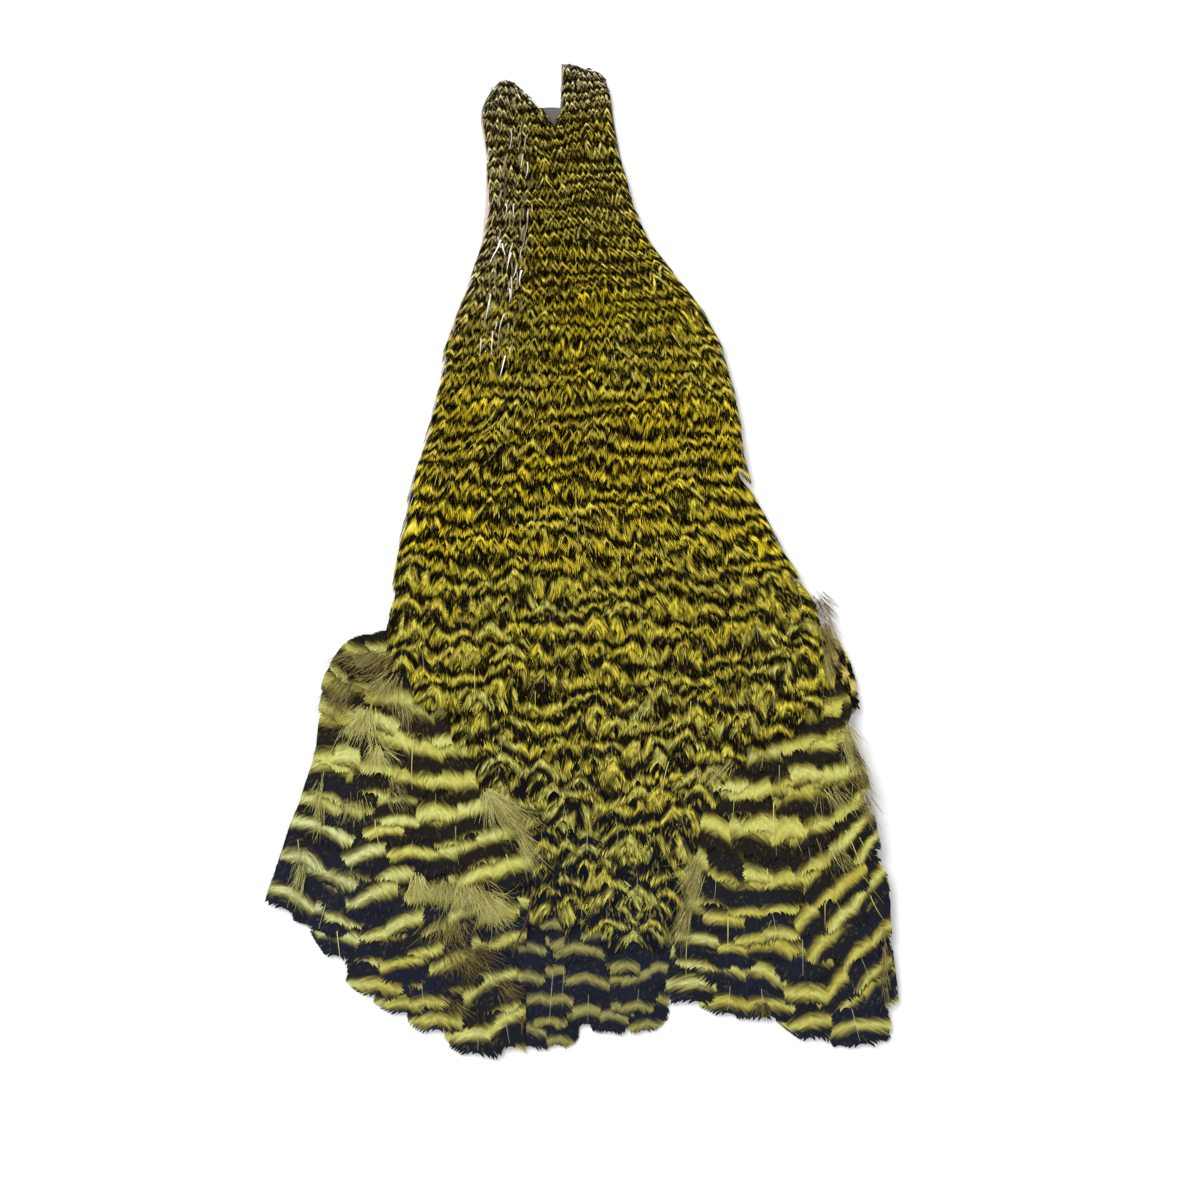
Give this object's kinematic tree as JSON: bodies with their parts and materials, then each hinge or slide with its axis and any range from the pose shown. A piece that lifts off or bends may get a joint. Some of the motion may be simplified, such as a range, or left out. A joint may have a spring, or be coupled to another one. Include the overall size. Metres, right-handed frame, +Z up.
{
  "type": "hen cape",
  "caption": "Barred olive hen cape lying flat: narrow neck hide with a notched end, small hackles, broad shoulder patches of large feathers and a scalloped hem.",
  "frame": {"origin": "centre of the bounding box's footprint, on the surface that the hide lies on", "axes": "+Y along the neck towards its notched end, +X to the right seen from the feather side, +Z up through the feathers"},
  "size_m": [0.1269, 0.2011, 0.0071],
  "materials": {
    "hackle_coat": "matt, soft hackles on a tanned skin",
    "left_shoulder": "soft barred vanes, pale green and dark",
    "right_shoulder": "soft barred vanes, olive yellow and dark",
    "hem": "soft barred vanes, olive and blue-black"
  },
  "bodies": {
    "root": {"hide": "hackle_coat", "right_edge_feather": "right_shoulder", "left_shoulder_feather_01": "left_shoulder", "left_shoulder_feather_02": "left_shoulder", "left_shoulder_feather_03": "left_shoulder", "left_shoulder_feather_04": "left_shoulder", "left_shoulder_feather_05": "left_shoulder", "left_shoulder_feather_06": "left_shoulder", "left_shoulder_feather_07": "left_shoulder", "left_shoulder_feather_08": "left_shoulder", "left_shoulder_feather_09": "left_shoulder", "left_shoulder_feather_10": "left_shoulder", "left_shoulder_feather_11": "left_shoulder", "left_shoulder_feather_12": "left_shoulder", "left_shoulder_feather_13": "left_shoulder", "left_shoulder_feather_14": "left_shoulder", "left_shoulder_feather_15": "left_shoulder", "left_shoulder_feather_16": "left_shoulder", "left_shoulder_feather_17": "left_shoulder", "left_shoulder_feather_18": "left_shoulder", "left_shoulder_feather_19": "left_shoulder", "left_shoulder_feather_20": "left_shoulder", "left_shoulder_feather_21": "left_shoulder", "left_shoulder_feather_22": "left_shoulder", "left_shoulder_feather_23": "left_shoulder", "right_shoulder_feather_01": "right_shoulder", "right_shoulder_feather_02": "right_shoulder", "right_shoulder_feather_03": "right_shoulder", "right_shoulder_feather_04": "right_shoulder", "right_shoulder_feather_05": "right_shoulder", "right_shoulder_feather_06": "right_shoulder", "right_shoulder_feather_07": "right_shoulder", "right_shoulder_feather_08": "right_shoulder", "right_shoulder_feather_09": "right_shoulder", "right_shoulder_feather_10": "right_shoulder", "right_shoulder_feather_11": "right_shoulder", "right_shoulder_feather_12": "right_shoulder", "right_shoulder_feather_13": "right_shoulder", "right_shoulder_feather_14": "right_shoulder", "right_shoulder_feather_15": "right_shoulder", "right_shoulder_feather_16": "right_shoulder", "right_shoulder_feather_17": "right_shoulder", "right_shoulder_feather_18": "right_shoulder", "right_shoulder_feather_19": "right_shoulder", "right_shoulder_feather_20": "right_shoulder", "right_shoulder_feather_21": "right_shoulder", "right_shoulder_feather_22": "right_shoulder", "hem_feather_01": "hem", "hem_feather_02": "hem", "hem_feather_03": "hem", "hem_feather_04": "hem", "hem_feather_05": "hem", "hem_feather_06": "hem", "hem_feather_07": "hem", "hem_feather_08": "hem", "hem_feather_09": "hem", "hem_feather_10": "hem", "hem_feather_11": "hem"}
  },
  "joints": []
}
